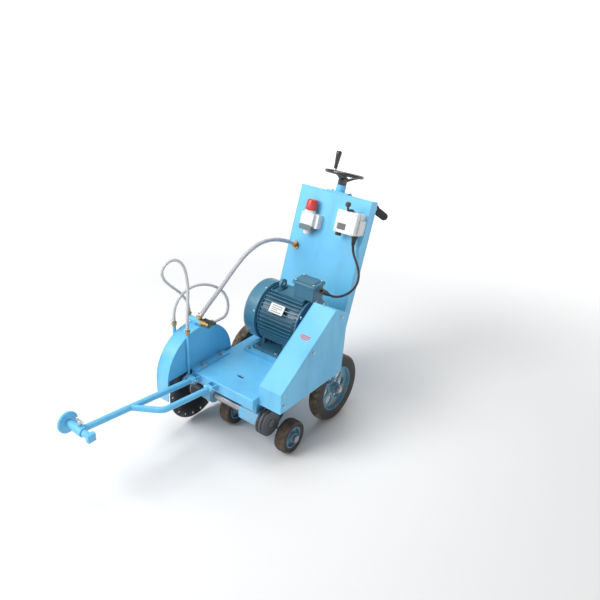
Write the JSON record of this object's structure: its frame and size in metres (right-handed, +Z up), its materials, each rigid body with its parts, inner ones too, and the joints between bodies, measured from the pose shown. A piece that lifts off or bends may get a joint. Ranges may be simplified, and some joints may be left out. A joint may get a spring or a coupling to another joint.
{
  "type": "walk-behind concrete saw",
  "caption": "Walk-behind floor saw: electric motor belt-driving a guarded disc blade on a four-wheeled frame with a leaning control column and guide fork.",
  "frame": {"origin": "on the ground, under the middle of the machine's box without its hoses and cable", "axes": "+Z up, -Y is the cutting direction with the guide fork, +Y the operator's side, +X the belt side and -X the blade side"},
  "size_m": [0.5356, 1.5331, 1.0259],
  "materials": {
    "frame_paint": "gloss light blue enamel, scuffed at the edges",
    "motor_paint": "dark blue-grey machine enamel on cast iron",
    "cowl_paint": "blue-grey enamel on pressed steel",
    "wheel_paint": "blue-grey enamel, dusty",
    "bare_steel": "turned steel",
    "bright_zinc": "zinc plated fasteners",
    "blade_steel": "dark ground steel",
    "tyre_rubber": "worn solid rubber, brown with dust",
    "grip_rubber": "soft black rubber",
    "belt_rubber": "moulded V-belt",
    "black_plastic": "black moulded plastic",
    "handwheel_black": "black enamelled rim",
    "white_plastic": "white moulded housing",
    "red_plastic": "red moulded cap",
    "brass": "turned brass, dulled",
    "clear_hose": "milky flexible PVC",
    "braided_hose": "translucent grey braided PVC",
    "cable_sheath": "black rubber sheath",
    "cast_iron": "cast pulley, oiled",
    "copper_stack": "laminated core"
  },
  "bodies": {
    "frame": {"base_frame": "frame_paint", "belt_guard": "frame_paint", "blade_guard": "frame_paint", "cable_glands": "black_plastic", "column_braces": "frame_paint", "column_panel": "frame_paint", "drive_belts": "belt_rubber", "fan_cowl": "cowl_paint", "frame_bolts": "bright_zinc", "front_hose": "clear_hose", "guide_sleeves": "frame_paint", "handle_bars": "frame_paint", "handle_grips": "grip_rubber", "hinge_pins": "bright_zinc", "hose_fittings": "brass", "loop_hose": "clear_hose", "motor_cable": "cable_sheath", "motor_end_shields": "motor_paint", "motor_frame": "motor_paint", "motor_plate": "frame_paint", "motor_stator": "copper_stack", "power_inlet": "white_plastic", "screw_boss": "frame_paint", "shaft_bearings": "bare_steel", "spindle_housings": "frame_paint", "supply_hose": "braided_hose", "switch_box": "white_plastic", "terminal_box": "motor_paint", "terminal_lid": "motor_paint", "valve_body": "brass", "water_manifold": "frame_paint", "water_pipes": "frame_paint"},
    "spindle": {"blade_shaft": "bare_steel", "blade_flanges": "bare_steel", "saw_blade": "blade_steel", "blade_nut": "bright_zinc", "spindle_pulley": "cast_iron"},
    "motor_rotor": {"motor_shaft": "bare_steel", "cooling_fan": "black_plastic", "motor_pulley": "cast_iron"},
    "wheel_carriage": {"undercarriage": "frame_paint", "axles": "bare_steel"},
    "rear_left_wheel": {"rear_left_tyre": "tyre_rubber", "rear_left_rim": "wheel_paint"},
    "rear_right_wheel": {"rear_right_tyre": "tyre_rubber", "rear_right_rim": "wheel_paint"},
    "front_left_wheel": {"front_left_tyre": "tyre_rubber", "front_left_rim": "wheel_paint"},
    "front_right_wheel": {"front_right_tyre": "tyre_rubber", "front_right_rim": "wheel_paint"},
    "depth_control": {"depth_screw": "bare_steel", "handwheel": "handwheel_black"},
    "wheel_grip": {"handwheel_grip": "black_plastic"},
    "fork": {"guide_fork": "frame_paint"},
    "crossbar": {"guide_crossbar": "frame_paint"},
    "disc": {"guide_disc": "frame_paint"},
    "fork_clamp": {"clamp_screw": "bright_zinc"},
    "water_lever": {"valve_lever": "blade_steel"},
    "switch_handle": {"switch_lever": "black_plastic"},
    "inlet_cap": {"inlet_lid": "red_plastic"}
  },
  "joints": [
    {"name": "blade_spin", "type": "hinge", "parent": "frame", "child": "spindle", "pos_m": [-0.215, -0.092, 0.155], "axis": [1, 0, 0], "continuous": true},
    {"name": "motor_spin", "type": "hinge", "parent": "frame", "child": "motor_rotor", "pos_m": [0, 0.254, 0.418], "axis": [1, 0, 0], "continuous": true},
    {"name": "depth_slide", "type": "slide", "parent": "frame", "child": "wheel_carriage", "axis": [0, 0.309, 0.9511], "range_m": [0, 0.065]},
    {"name": "rear_left_spin", "type": "hinge", "parent": "wheel_carriage", "child": "rear_left_wheel", "pos_m": [0, 0.286, 0.147], "axis": [1, 0, 0], "continuous": true},
    {"name": "rear_right_spin", "type": "hinge", "parent": "wheel_carriage", "child": "rear_right_wheel", "pos_m": [0, 0.286, 0.147], "axis": [1, 0, 0], "continuous": true},
    {"name": "front_left_spin", "type": "hinge", "parent": "wheel_carriage", "child": "front_left_wheel", "pos_m": [0, -0.018, 0.07], "axis": [1, 0, 0], "continuous": true},
    {"name": "front_right_spin", "type": "hinge", "parent": "wheel_carriage", "child": "front_right_wheel", "pos_m": [0, -0.018, 0.07], "axis": [1, 0, 0], "continuous": true},
    {"name": "handwheel_turn", "type": "hinge", "parent": "frame", "child": "depth_control", "pos_m": [-0.017, 0.63164, 0.94739], "axis": [0, -0.309, -0.9511], "range_deg": [0, 4680.5]},
    {"name": "grip_spin", "type": "hinge", "parent": "depth_control", "child": "wheel_grip", "pos_m": [-0.08769, 0.66299, 0.93721], "axis": [0, 0.309, 0.9511], "continuous": true},
    {"name": "fork_fold", "type": "hinge", "parent": "frame", "child": "fork", "pos_m": [-0.098, -0.18, 0.252], "axis": [-1, 0, 0], "range_deg": [-25, 70]},
    {"name": "crossbar_slide", "type": "slide", "parent": "fork", "child": "crossbar", "axis": [1, 0, 0], "range_m": [-0.03, 0.03]},
    {"name": "disc_spin", "type": "hinge", "parent": "crossbar", "child": "disc", "pos_m": [-0.215, -0.72448, 0.31404], "axis": [1, 0, 0], "continuous": true},
    {"name": "clamp_turn", "type": "hinge", "parent": "fork", "child": "fork_clamp", "pos_m": [-0.146, -0.72448, 0.31404], "axis": [0, 0.1132, 0.9936], "range_deg": [0, 360]},
    {"name": "water_valve_turn", "type": "hinge", "parent": "frame", "child": "water_lever", "pos_m": [-0.164, -0.08, 0.478], "axis": [0, 0, 1], "range_deg": [0, 90]},
    {"name": "switch_turn", "type": "hinge", "parent": "frame", "child": "switch_handle", "pos_m": [0.102, 0.52618, 0.84287], "axis": [0, 0.309, 0.9511], "range_deg": [-45, 45]},
    {"name": "inlet_cap_open", "type": "hinge", "parent": "frame", "child": "inlet_cap", "pos_m": [-0.105, 0.49801, 0.8047], "axis": [1, 0, 0], "range_deg": [0, 100]}
  ],
  "couplings": [
    {"joint": "motor_spin", "follows": "blade_spin", "ratio": 1.375},
    {"joint": "handwheel_turn", "follows": "depth_slide", "rad_per_m": 1256.6}
  ]
}
